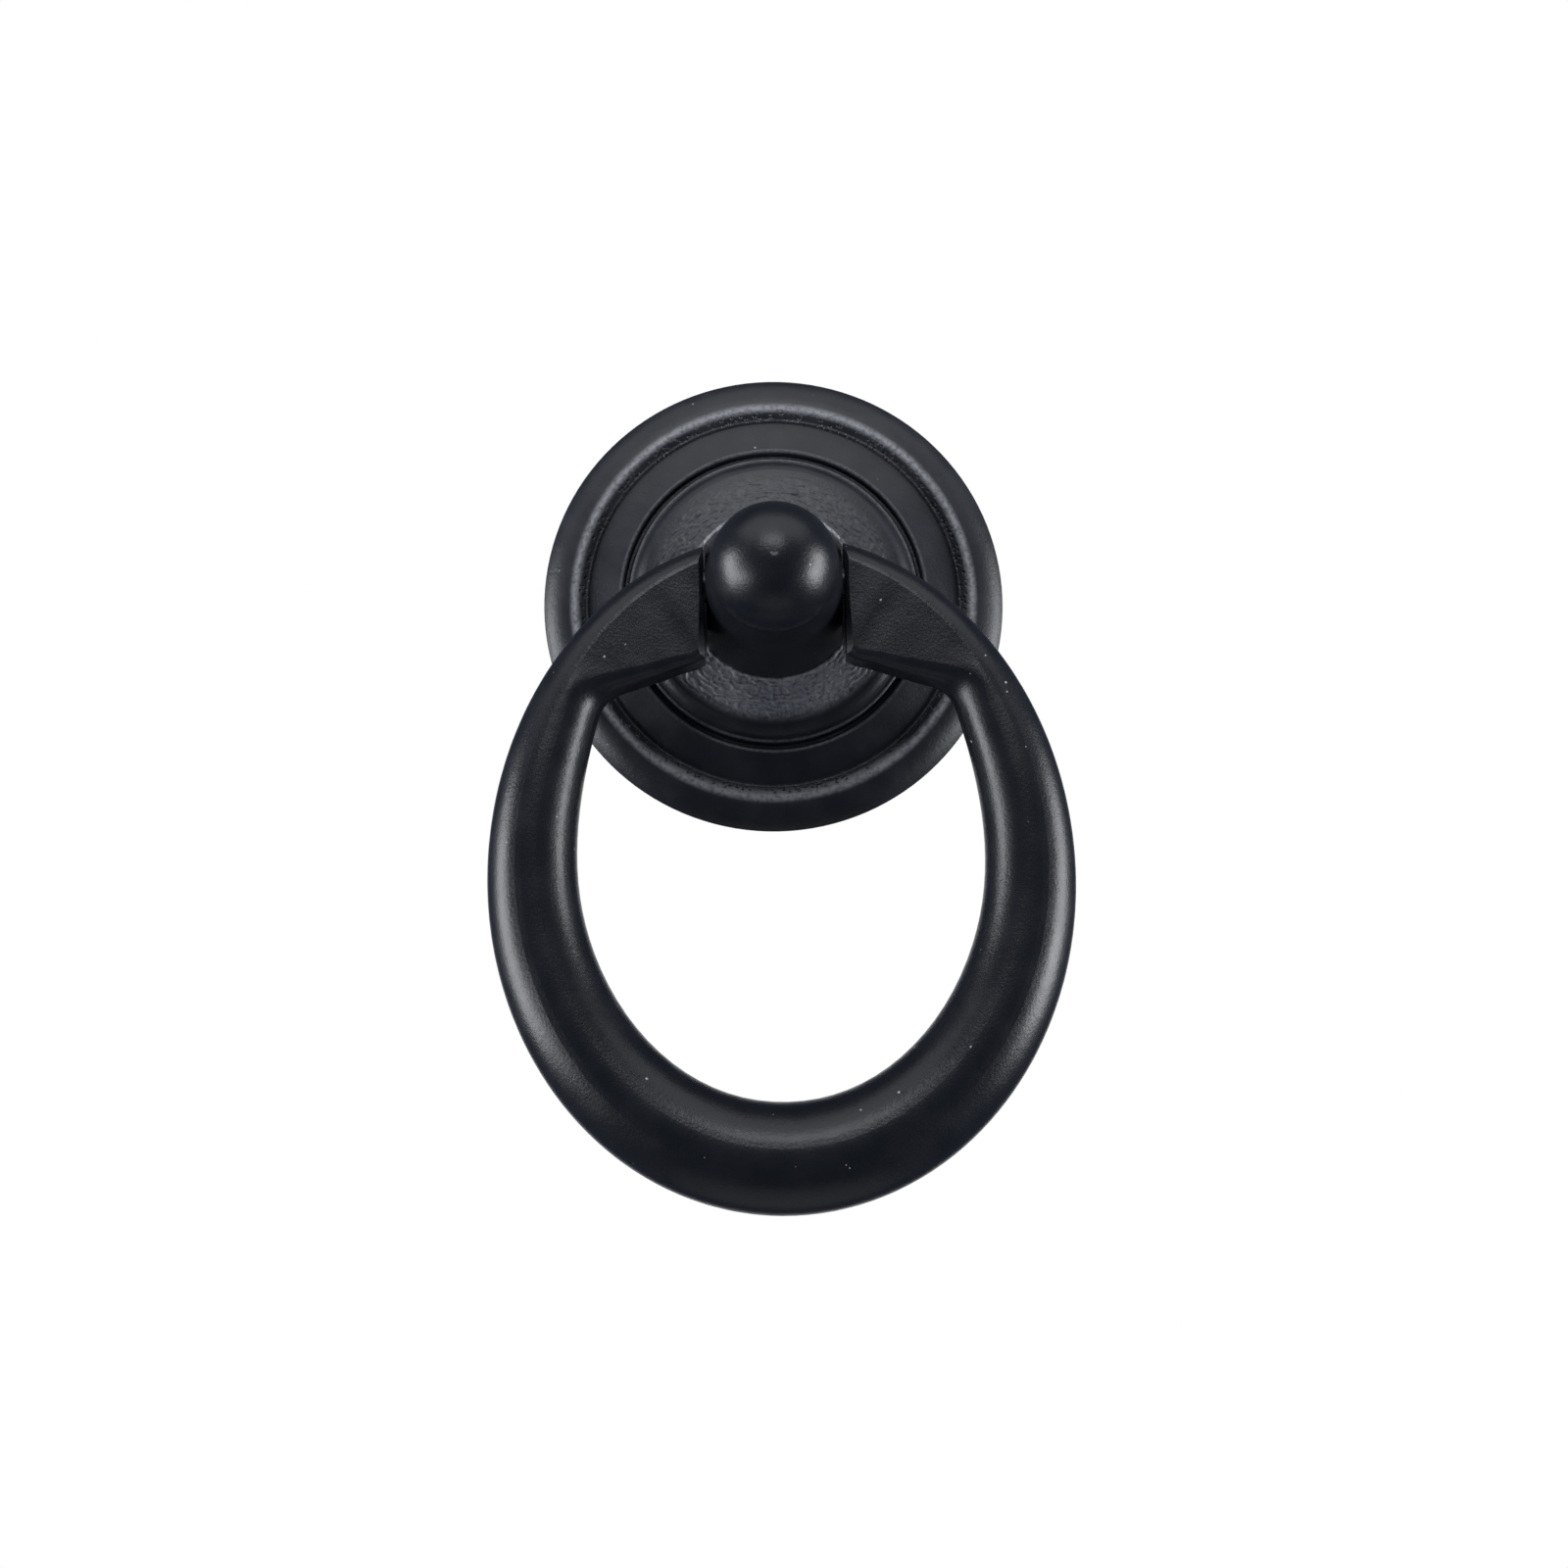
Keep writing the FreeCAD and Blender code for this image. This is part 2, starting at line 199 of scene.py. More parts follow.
def new_group(
    name: str, inputs: dict[str, str], outputs: dict[str, str]
) -> tuple[Graph, bpy.types.Node, bpy.types.Node]:
    """Starts a shader node group with named sockets.

    Args:
        name: The group's name.
        inputs: Its inputs' socket types by name.
        outputs: Its outputs' socket types by name.

    Returns:
        The group's graph, its input node and its output node.
    """
    tree = bpy.data.node_groups.new(name, "ShaderNodeTree")
    for label, kind in inputs.items():
        tree.interface.new_socket(name=label, in_out="INPUT", socket_type=kind)
    for label, kind in outputs.items():
        tree.interface.new_socket(name=label, in_out="OUTPUT", socket_type=kind)
    graph = Graph(tree)
    return graph, graph.add("NodeGroupInput"), graph.add("NodeGroupOutput")


class PaintEffects:
    """The node groups that both paints use."""

    GRAIN_DETAIL = 3.0
    RIPPLE_DETAIL = 1.0
    CLOUD_DETAIL = 4.0
    # A pit's flat floor and its rim, as shares of the pits' spacing
    PIT_FLOOR = 0.12
    PIT_RIM = 0.42
    SMALLEST_SPECK = 0.3

    def __init__(self) -> None:
        """Builds each group once."""
        self.relief = self.build_relief()
        self.specks = self.build_specks()
        self.wear = self.build_wear()

    def build_relief(self) -> bpy.types.NodeTree:
        """Builds the height of the paint's grain, its ripples and its pits, in metres.

        Returns:
            The group.
        """
        inputs = {
            "Vector": VECTOR, "Grain Size": NUMBER, "Grain Depth": NUMBER, "Ripple Size": NUMBER,
            "Ripple Depth": NUMBER, "Pit Spacing": NUMBER, "Pit Depth": NUMBER,
        }
        graph, taken, given = new_group("paint_relief", inputs, {"Height": NUMBER})
        place = taken.outputs["Vector"]
        grain = graph.noise(place, taken.outputs["Grain Size"], self.GRAIN_DETAIL)
        grain = graph.compute("MULTIPLY", grain, taken.outputs["Grain Depth"])
        ripple = graph.noise(place, taken.outputs["Ripple Size"], self.RIPPLE_DETAIL)
        ripple = graph.compute("MULTIPLY", ripple, taken.outputs["Ripple Depth"])
        cells = graph.cells(place, taken.outputs["Pit Spacing"])
        pits = graph.ramp(cells.outputs["Distance"], self.PIT_FLOOR, self.PIT_RIM, 1.0, 0.0)
        depth = graph.compute("MULTIPLY", pits, taken.outputs["Pit Depth"])
        height = graph.compute("SUBTRACT", graph.compute("ADD", grain, ripple), depth)
        graph.feed(given.inputs["Height"], height)
        return graph.tree

    def build_specks(self) -> bpy.types.NodeTree:
        """Builds the mask of the small pale specks of dust that lie on the paint.

        Returns:
            The group.
        """
        inputs = {"Vector": VECTOR, "Spacing": NUMBER, "Share": NUMBER, "Size": NUMBER}
        graph, taken, given = new_group("dust_specks", inputs, {"Mask": NUMBER})
        cells = graph.cells(taken.outputs["Vector"], taken.outputs["Spacing"])
        lots = graph.add("ShaderNodeSeparateColor", {"Color": cells.outputs["Color"]})
        chosen = graph.compute("LESS_THAN", lots.outputs[0], taken.outputs["Share"])
        growth = graph.compute("ADD", self.SMALLEST_SPECK, lots.outputs[1])
        reach = graph.compute("MULTIPLY", taken.outputs["Size"], growth)
        inside = graph.compute("LESS_THAN", cells.outputs["Distance"], reach)
        graph.feed(given.inputs["Mask"], graph.compute("MULTIPLY", chosen, inside))
        return graph.tree

    def build_wear(self) -> bpy.types.NodeTree:
        """Builds the cloudy change of gloss over the paint.

        Returns:
            The group.
        """
        inputs = {"Vector": VECTOR, "Roughness": NUMBER, "Spread": NUMBER, "Patch Size": NUMBER}
        graph, taken, given = new_group("gloss_wear", inputs, {"Roughness": NUMBER, "Cloud": NUMBER})
        cloud = graph.noise(taken.outputs["Vector"], taken.outputs["Patch Size"], self.CLOUD_DETAIL)
        change = graph.compute("MULTIPLY", cloud, taken.outputs["Spread"])
        roughness = graph.compute("ADD", taken.outputs["Roughness"], change)
        graph.feed(given.inputs["Roughness"], roughness)
        graph.feed(given.inputs["Cloud"], cloud)
        return graph.tree


@dataclass(frozen=True)
class PaintFinish:
    """A thin coat of black paint. Sizes, depths and spacings are in metres."""

    name: str
    colour: tuple[float, float, float]
    worn_colour: tuple[float, float, float]
    dust_colour: tuple[float, float, float]
    # The pale colour of the painted highlights
    painted_highlight_colour: tuple[float, float, float]
    roughness: float
    roughness_spread: float
    patch_size: float
    grain_size: float
    grain_depth: float
    ripple_size: float
    ripple_depth: float
    pit_spacing: float
    pit_depth: float
    dust_spacing: float
    dust_share: float
    dust_size: float
    dust_dulling: float = 0.4
    worn_from: float = -0.15
    worn_to: float = 0.2

    def relief_depths(self, graph: Graph, place: bpy.types.NodeSocket) -> tuple[Source, Source]:
        """Gives the ripples' and the pits' depths, which are the same all over here."""
        return self.ripple_depth, self.pit_depth

    def painted_highlight_share(self, graph: Graph, place: bpy.types.NodeSocket) -> Source:
        """Gives the share of the painted highlight colour, which is none here."""
        return 0.0

    def add_relief(
        self, graph: Graph, group: bpy.types.NodeTree, place: bpy.types.NodeSocket
    ) -> bpy.types.NodeSocket:
        """Adds the paint's relief.

        Args:
            graph: The material's graph.
            group: The relief's node group.
            place: The coordinates on the piece.

        Returns:
            The height's output.
        """
        ripple_depth, pit_depth = self.relief_depths(graph, place)
        feeds = {
            "Vector": place, "Grain Size": self.grain_size, "Grain Depth": self.grain_depth,
            "Ripple Size": self.ripple_size, "Ripple Depth": ripple_depth,
            "Pit Spacing": self.pit_spacing, "Pit Depth": pit_depth,
        }
        return graph.add("ShaderNodeGroup", feeds, node_tree=group).outputs["Height"]

    def material(self, effects: PaintEffects) -> bpy.types.Material:
        """Builds the paint's material.

        Args:
            effects: The shared node groups.

        Returns:
            The material.
        """
        material = bpy.data.materials.new(self.name)
        material.use_nodes = True
        graph = Graph(material.node_tree)
        shader = material.node_tree.nodes["Principled BSDF"]
        place = graph.add("ShaderNodeTexCoord").outputs["Object"]
        height = self.add_relief(graph, effects.relief, place)
        specks = graph.add("ShaderNodeGroup", {
            "Vector": place, "Spacing": self.dust_spacing, "Share": self.dust_share, "Size": self.dust_size,
        }, node_tree=effects.specks)
        wear = graph.add("ShaderNodeGroup", {
            "Vector": place, "Roughness": self.roughness, "Spread": self.roughness_spread,
            "Patch Size": self.patch_size,
        }, node_tree=effects.wear)
        mask = specks.outputs["Mask"]
        patches = graph.ramp(wear.outputs["Cloud"], self.worn_from, self.worn_to)
        paint = graph.mix(patches, (*self.colour, 1.0), (*self.worn_colour, 1.0))
        # Painted highlights: a pale colour mixed in by the finish's highlight share
        paint = graph.mix(self.painted_highlight_share(graph, place), paint, (*self.painted_highlight_colour, 1.0))
        graph.feed(shader.inputs["Base Color"], graph.mix(mask, paint, (*self.dust_colour, 1.0)))
        dull = graph.compute("MULTIPLY", mask, self.dust_dulling)
        graph.feed(shader.inputs["Roughness"], graph.compute("ADD", wear.outputs["Roughness"], dull))
        bump = graph.add("ShaderNodeBump", {"Strength": 1.0, "Distance": 1.0, "Height": height})
        graph.feed(shader.inputs["Normal"], bump.outputs["Normal"])
        return material


@dataclass(frozen=True)
class HighlightBand:
    """A ring of painted highlight on the rosette, by its radius, its half width and its most."""

    radius: float
    spread: float
    most: float

    def share_at(self, graph: Graph, radius: Source, core: float = 0.0) -> bpy.types.NodeSocket:
        """Gives the share of the painted highlight colour in the band.

        Args:
            graph: The material's graph.
            radius: The distance from the rosette's axis.
            core: The part of the half width that shows the most.

        Returns:
            The share's output.
        """
        off = graph.compute("ABSOLUTE", graph.compute("SUBTRACT", radius, self.radius))
        return graph.ramp(off, core * self.spread, self.spread, self.most, 0.0)


@dataclass(frozen=True)
class CastFinish(PaintFinish):
    """The rosette's paint, pitted along the bead and rippled round the foot, where the casting is rougher.

    Pale rings painted along the foot seam, the groove's lips and the bead stand for highlights, and so does
    a paler patch over the lower disc. The rests are what is left of an effect away from its place, and a
    cloudy noise makes these painted highlights uneven.
    """

    bead_radius: float = 17.3 * MM
    bead_spread: float = 0.6 * MM
    bead_rest: float = 0.04
    foot_radius: float = 8.0 * MM
    foot_spread: float = 3.5 * MM
    foot_rest: float = 0.35
    # Painted highlights at the foot seam, the groove's inner and outer lips, the bead's inner edge and its
    # crest
    highlight_bands: tuple[HighlightBand, ...] = (
        HighlightBand(7.85 * MM, 0.34 * MM, 1.0),
        HighlightBand(13.02 * MM, 0.2 * MM, 0.3),
        HighlightBand(13.92 * MM, 0.24 * MM, 0.33),
        HighlightBand(17.02 * MM, 0.12 * MM, 0.25),
        HighlightBand(18.1 * MM, 0.6 * MM, 0.85),
    )
    # Painted highlight over the raised disc, full low down and faint above, as the light falls on its lower
    # part
    disc_highlight_band: HighlightBand = HighlightBand(9.3 * MM, 2.5 * MM, 0.95)
    disc_highlight_core: float = 0.4
    disc_highlight_top: float = 2.0 * MM
    disc_highlight_low: float = -5.0 * MM
    disc_highlight_rest: float = 0.12
    # Cloudy noise that makes the painted highlights uneven
    highlight_break_size: float = 0.32 * MM
    highlight_break_detail: float = 3.0
    highlight_break_from: float = -0.22
    highlight_break_to: float = 0.1
    highlight_break_rest: float = 0.45

    def relief_depths(self, graph: Graph, place: bpy.types.NodeSocket) -> tuple[Source, Source]:
        """Gives the ripples' depth, which grows towards the foot, and the pits', towards the bead.

        Args:
            graph: The material's graph.
            place: The coordinates on the piece.

        Returns:
            The two depths.
        """
        radius = self.radius_of(graph, place)
        foot_edge = self.foot_radius + self.foot_spread
        near_foot = graph.ramp(radius, self.foot_radius, foot_edge, 1.0, self.foot_rest)
        off_bead = graph.compute("ABSOLUTE", graph.compute("SUBTRACT", radius, self.bead_radius))
        near_bead = graph.ramp(off_bead, 0.0, self.bead_spread, 1.0, self.bead_rest)
        ripple = graph.compute("MULTIPLY", near_foot, self.ripple_depth)
        pits = graph.compute("MULTIPLY", near_bead, self.pit_depth)
        return ripple, graph.compute("MULTIPLY", pits, self.front_of(graph))

    def front_of(self, graph: Graph) -> bpy.types.NodeSocket:
        """Gives 1 where the surface faces the room and 0 where it faces the door."""
        facing = graph.add("ShaderNodeSeparateXYZ", {0: graph.add("ShaderNodeTexCoord").outputs["Normal"]})
        return graph.compute("LESS_THAN", facing.outputs["Y"], 0.0)

    def radius_of(self, graph: Graph, place: bpy.types.NodeSocket) -> bpy.types.NodeSocket:
        """Gives the distance from the rosette's axis, in metres."""
        flat = graph.add("ShaderNodeVectorMath", {0: place, 1: (1.0, 0.0, 1.0)}, operation="MULTIPLY")
        return graph.add("ShaderNodeVectorMath", {0: flat.outputs[0]}, operation="LENGTH").outputs["Value"]

    def painted_highlight_share(self, graph: Graph, place: bpy.types.NodeSocket) -> Source:
        """Gives the share of the painted highlight colour along the raised rings and over the lower disc.

        Args:
            graph: The material's graph.
            place: The coordinates on the piece.

        Returns:
            The share, uneven along each ring.
        """
        radius = self.radius_of(graph, place)
        # Painted highlight: the disc is lighter below the post than above it
        height = graph.add("ShaderNodeSeparateXYZ", {0: place}).outputs["Z"]
        lit_below = graph.ramp(height, self.disc_highlight_low, self.disc_highlight_top, 1.0, self.disc_highlight_rest)
        share = graph.compute("MULTIPLY", self.disc_highlight_band.share_at(graph, radius, self.disc_highlight_core), lit_below)
        for band in self.highlight_bands:
            share = graph.compute("MAXIMUM", share, band.share_at(graph, radius))
        # Breaks the painted highlights up unevenly
        highlight_breaks = graph.noise(place, self.highlight_break_size, self.highlight_break_detail)
        uneven = graph.ramp(highlight_breaks, self.highlight_break_from, self.highlight_break_to, self.highlight_break_rest, 1.0)
        share = graph.compute("MULTIPLY", share, uneven)
        return graph.compute("MULTIPLY", share, self.front_of(graph))


@dataclass(frozen=True)
class FloorPaper:
    """The pale paper of the floor, which the camera sees as plain white."""

    name: str = "floor_paper"
    colour: tuple[float, float, float, float] = (0.8, 0.8, 0.8, 1.0)

    def material(self) -> bpy.types.Material:
        """Builds the paper: white to the camera from above, and clear from below.

        Returns:
            The material.
        """
        material = bpy.data.materials.new(self.name)
        material.use_nodes = True
        graph = Graph(material.node_tree)
        graph.tree.nodes.clear()
        ray = graph.add("ShaderNodeLightPath")
        seen = graph.compute("MAXIMUM", ray.outputs["Is Camera Ray"], ray.outputs["Is Transmission Ray"])
        matt = graph.add("ShaderNodeBsdfDiffuse", {"Color": self.colour})
        white = graph.add("ShaderNodeEmission", {"Color": WHITE, "Strength": 1.0})
        front = graph.add("ShaderNodeMixShader", {0: seen, 1: matt.outputs[0], 2: white.outputs[0]})
        behind = graph.add("ShaderNodeNewGeometry").outputs["Backfacing"]
        clear = graph.add("ShaderNodeBsdfTransparent")
        whole = graph.add("ShaderNodeMixShader", {0: behind, 1: front.outputs[0], 2: clear.outputs[0]})
        graph.add("ShaderNodeOutputMaterial", {"Surface": whole.outputs[0]})
        return material


def deselect_all() -> None:
    """Leaves nothing selected and object mode on."""
    if bpy.context.object and bpy.context.object.mode != "OBJECT":
        bpy.ops.object.mode_set(mode="OBJECT")
    bpy.ops.object.select_all(action="DESELECT")


def select_only(piece: bpy.types.Object) -> None:
    """Selects one piece and makes it the active one.

    Args:
        piece: The mesh object.
    """
    deselect_all()
    piece.select_set(True)
    bpy.context.view_layer.objects.active = piece


def edit_whole() -> None:
    """Turns edit mode on, with the active piece's whole mesh selected."""
    bpy.ops.object.mode_set(mode="EDIT")
    bpy.ops.mesh.select_all(action="SELECT")


def settle(piece: bpy.types.Object, name: str) -> bpy.types.Object:
    """Names a piece and puts its place into its mesh.

    Args:
        piece: The finished mesh object.
        name: Its name.

    Returns:
        The same piece.
    """
    select_only(piece)
    piece.name = name
    piece.data.name = name
    bpy.ops.object.transform_apply(location=True, rotation=True, scale=True)
    return piece


def apply_modifiers(piece: bpy.types.Object) -> None:
    """Applies every modifier of a piece, in order.

    Args:
        piece: The mesh object.
    """
    select_only(piece)
    for modifier in list(piece.modifiers):
        bpy.ops.object.modifier_apply(modifier=modifier.name)


def mend_mesh(piece: bpy.types.Object) -> None:
    """Merges doubled points and turns all faces outwards.

    Args:
        piece: The mesh object.
    """
    select_only(piece)
    edit_whole()
    bpy.ops.mesh.remove_doubles(threshold=MERGE_DISTANCE)
    bpy.ops.mesh.normals_make_consistent(inside=False)
    bpy.ops.object.mode_set(mode="OBJECT")


def dress(piece: bpy.types.Object, material: bpy.types.Material) -> None:
    """Gives a piece one material in all of its slots."""
    piece.data.materials.clear()
    piece.data.materials.append(material)


def paint_node(node: str, body: Body, paint: bpy.types.Material) -> None:
    """Dresses a carried-over solid and reports it.

    Args:
        node: The solid's name.
        body: The body that it rides on.
        paint: Its paint.
    """
    dress(frame["nodes"][node], paint)
    LOG.info("%s: painted, on body %s", node, body.value)


def attach(piece: bpy.types.Object, body: Body, paint: bpy.types.Material) -> None:
    """Dresses a new piece, makes it ride on a body and reports it.

    Args:
        piece: The new piece.
        body: The body that it rides on.
        paint: Its paint.
    """
    dress(piece, paint)
    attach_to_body(piece, body.value)
    LOG.info("%s: %d faces, on body %s", piece.name, len(piece.data.polygons), body.value)


def displace(
    piece: bpy.types.Object, texture: bpy.types.Texture, depth: float, group: str
) -> bpy.types.DisplaceModifier:
    """Raises and lowers a piece's surface along its normals by a texture.

    Args:
        piece: The mesh object.
        texture: The texture, which also names the change.
        depth: The height from its lowest to its highest, in metres.
        group: The vertex group that weighs it, or an empty name.

    Returns:
        The modifier.
    """
    modifier = piece.modifiers.new(texture.name, "DISPLACE")
    modifier.texture = texture
    modifier.mid_level = 0.5
    modifier.strength = depth
    modifier.vertex_group = group
    return modifier


def add_lumps(piece: bpy.types.Object, name: str, size: float, depth: float, group: str = "") -> None:
    """Roughens a piece's surface with cloudy lumps.

    Args:
        piece: The mesh object.
        name: The lumps' name.
        size: Their width, in metres.
        depth: Their height, in metres.
        group: The vertex group that weighs them, if any.
    """
    texture = bpy.data.textures.new(name, "CLOUDS")
    texture.noise_scale = size
    texture.noise_depth = 2
    displace(piece, texture, depth, group).texture_coords = "LOCAL"


@dataclass(frozen=True)
class Nick:
    """A small dent in the disc, or a lump where its depth is below zero, by its place on the disc."""

    across: float
    up: float
    reach: float
    depth: float


@dataclass
class Rosette:
    """The round cast plate, the rough skin round its middle and the marks in its hollow back."""

    node: str = "rosette"
    body: Body = Body.BASE
    shoulder_radius: float = 11.8 * MM
    shoulder_reach: float = 4.2 * MM
    seat_radius: float = 7.95 * MM
    seat_reach: float = 5.0 * MM
    skin_outer: float = 11.7 * MM
    skin_inner: float = 7.5 * MM
    skin_rings: int = 58
    skin_divisions: int = 400
    skin_lift: float = 0.03 * MM
    skin_sink: float = 0.03 * MM
    skin_border: float = 0.05 * MM
    skin_fade: float = 0.9 * MM
    skin_inner_fade: float = 0.3 * MM
    skin_calm: float = 0.3
    skin_calm_span: float = 8.0 * MM
    ripple_pitch: float = 0.42 * MM
    ripple_depth: float = 0.13 * MM
    ripple_wander: float = 9.0
    ripple_wander_size: float = 0.55
    # The wood pattern turns by this many radians in each unit of its own scale
    wood_turn: float = 20.0
    lump_size: float = 0.55 * MM
    lump_depth: float = 0.28 * MM
    nicks: tuple[Nick, ...] = (
        Nick(2.75 * MM, 9.75 * MM, 0.3 * MM, 0.1 * MM),
        Nick(2.2 * MM, 9.5 * MM, 0.28 * MM, -0.1 * MM),
        Nick(-6.6 * MM, 7.8 * MM, 0.25 * MM, -0.06 * MM),
        Nick(6.4 * MM, 8.4 * MM, 0.3 * MM, 0.06 * MM),
    )
    nick_softness: float = 0.5
    nick_passes: int = 3
    mark_count: int = 3
    mark_radius: float = 1.5 * MM
    mark_height: float = 0.2 * MM
    mark_bevel: float = 0.08 * MM
    mark_bevel_steps: int = 3
    mark_sides: int = 40
    mark_crease: float = 35.0
    mark_ring: float = 12.1 * MM
    mark_reach: float = 1.42 * MM
    mark_tilt: float = 13.6

    def reach_at(self, radius: float) -> float:
        """Gives the distance from the door to the raised disc's face at a radius.

        Args:
            radius: The distance from the rosette's axis.

        Returns:
            The face's distance from the door.
        """
        share = (self.shoulder_radius - radius) / (self.shoulder_radius - self.seat_radius)
        return self.shoulder_reach + (self.seat_reach - self.shoulder_reach) * min(max(share, 0.0), 1.0)

    def fade_at(self, radius: float) -> float:
        """Gives the share of the ripples at a radius, eased to nothing at the skin's two borders.

        Args:
            radius: The distance from the rosette's axis.

        Returns:
            The share, from 0 to 1.
        """
        outer = min(max((self.skin_outer - self.skin_border - radius) / self.skin_fade, 0.0), 1.0)
        inner = min(max((radius - self.skin_inner - self.skin_border) / self.skin_inner_fade, 0.0), 1.0)
        return outer * outer * (3.0 - 2.0 * outer) * inner

    def lift_at(self, radius: float) -> float:
        """Gives the skin's height over the disc's face, which is below zero at its two borders.

        Args:
            radius: The distance from the rosette's axis.

        Returns:
            The height in metres.
        """
        fade = self.fade_at(radius)
        return self.skin_lift * fade - self.skin_sink * (1.0 - fade)

    def build_skin(self) -> bpy.types.Object:
        """Builds the thin rippled skin of the raised disc round the post's foot.

        Returns:
            The skin.
        """
        deselect_all()
        bpy.ops.mesh.primitive_circle_add(
            vertices=self.skin_divisions, radius=self.skin_outer, fill_type="NOTHING",
            location=(0.0, 0.0, 0.0), rotation=FACING_OUT,
        )
        skin = settle(bpy.context.object, "disc_skin")
        radius, height = self.skin_outer, self.skin_sink - self.reach_at(self.skin_outer)
        edit_whole()
        bpy.ops.transform.translate(value=(0.0, height, 0.0))
        for ring in range(1, self.skin_rings + 1):
            target = self.skin_outer + (self.skin_inner - self.skin_outer) * ring / self.skin_rings
            level = -self.reach_at(target) - self.lift_at(target)
            rise, shrink = level - height, target / radius
            bpy.ops.mesh.extrude_region_move(TRANSFORM_OT_translate={"value": (0.0, rise, 0.0)})
            bpy.ops.transform.resize(value=(shrink, 1.0, shrink), center_override=(0.0, 0.0, 0.0))
            radius, height = target, level
        bpy.ops.object.mode_set(mode="OBJECT")
        mend_mesh(skin)
        if skin.data.polygons[0].normal.y > 0:
            skin.data.flip_normals()
        self.add_ripples(skin)
        self.add_nicks(skin)
        bpy.ops.object.shade_smooth()
        return skin

    def weigh_ripples(self, skin: bpy.types.Object) -> str:
        """Weighs the ripples by place: strongest below the foot and calm above it.

        Args:
            skin: The skin.

        Returns:
            The vertex group's name.
        """
        group = skin.vertex_groups.new(name="ripples")
        for point in skin.data.vertices:
            radius = math.hypot(point.co.x, point.co.z)
            lit_below = min(max(0.5 - point.co.z / self.skin_calm_span, 0.0), 1.0)
            weight = self.fade_at(radius) * (self.skin_calm + (1.0 - self.skin_calm) * lit_below)
            group.add([point.index], weight, "REPLACE")
        return group.name

    def add_ripples(self, skin: bpy.types.Object) -> None:
        """Raises wavering ripples round the foot, and soft lumps.

        Args:
            skin: The skin.
        """
        group = self.weigh_ripples(skin)
        bpy.ops.object.empty_add(location=(0.0, 0.0, 0.0))
        centre = bpy.context.object
        centre.scale = (self.ripple_pitch * self.wood_turn / math.tau,) * 3
        bpy.context.view_layer.update()
        texture = bpy.data.textures.new("casting_ripples", "WOOD")
        texture.wood_type = "RINGNOISE"
        texture.noise_scale = self.ripple_wander_size
        texture.turbulence = self.ripple_wander
        ripples = displace(skin, texture, self.ripple_depth, group)
        ripples.texture_coords = "OBJECT"
        ripples.texture_coords_object = centre
        add_lumps(skin, "casting_lumps", self.lump_size, self.lump_depth, group)
        apply_modifiers(skin)
        bpy.data.objects.remove(centre)

    def add_nicks(self, skin: bpy.types.Object) -> None:
        """Presses small dents into the skin's upper half and raises small lumps there.

        Args:
            skin: The skin.
        """
        for nick in self.nicks:
            bpy.ops.object.mode_set(mode="EDIT")
            bpy.ops.mesh.select_all(action="DESELECT")
            bpy.ops.object.mode_set(mode="OBJECT")
            for point in skin.data.vertices:
                point.select = math.hypot(point.co.x - nick.across, point.co.z - nick.up) < nick.reach
            bpy.ops.object.mode_set(mode="EDIT")
            bpy.ops.transform.translate(value=(0.0, nick.depth, 0.0))
            bpy.ops.mesh.select_more()
            bpy.ops.mesh.vertices_smooth(factor=self.nick_softness, repeat=self.nick_passes)
            bpy.ops.object.mode_set(mode="OBJECT")

    def build_mark(self, number: int) -> bpy.types.Object:
        """Builds one of the low round marks that the mould's pins leave in the hollow back.

        Args:
            number: Which one it is, from 0.

        Returns:
            The mark.
        """
        deselect_all()
        bpy.ops.mesh.primitive_cylinder_add(
            vertices=self.mark_sides, radius=self.mark_radius, depth=2.0 * self.mark_height,
            location=(0.0, 0.0, 0.0), rotation=FACING_OUT,
        )
        mark = settle(bpy.context.object, f"pin_mark_{number + 1}")
        bevel = mark.modifiers.new("soft_rim", "BEVEL")
        bevel.width = self.mark_bevel
        bevel.segments = self.mark_bevel_steps
        apply_modifiers(mark)
        bpy.ops.object.shade_smooth_by_angle(angle=math.radians(self.mark_crease))
        lean = Matrix.Rotation(math.radians(-self.mark_tilt), 4, "X")
        seat = Matrix.Translation((0.0, -self.mark_reach, self.mark_ring))
        spin = Matrix.Rotation(-math.tau * number / self.mark_count, 4, "Y")
        mark.matrix_world = spin @ seat @ lean
        return settle(mark, mark.name)

    def build(self, cast: bpy.types.Material) -> None:
        """Dresses the casting and adds its skin and marks.

        Args:
            cast: The rosette's paint.
        """
        paint_node(self.node, self.body, cast)
        skin = self.build_skin()
        marks = [self.build_mark(number) for number in range(self.mark_count)]
        for piece in [skin, *marks]:
            attach(piece, self.body, cast)


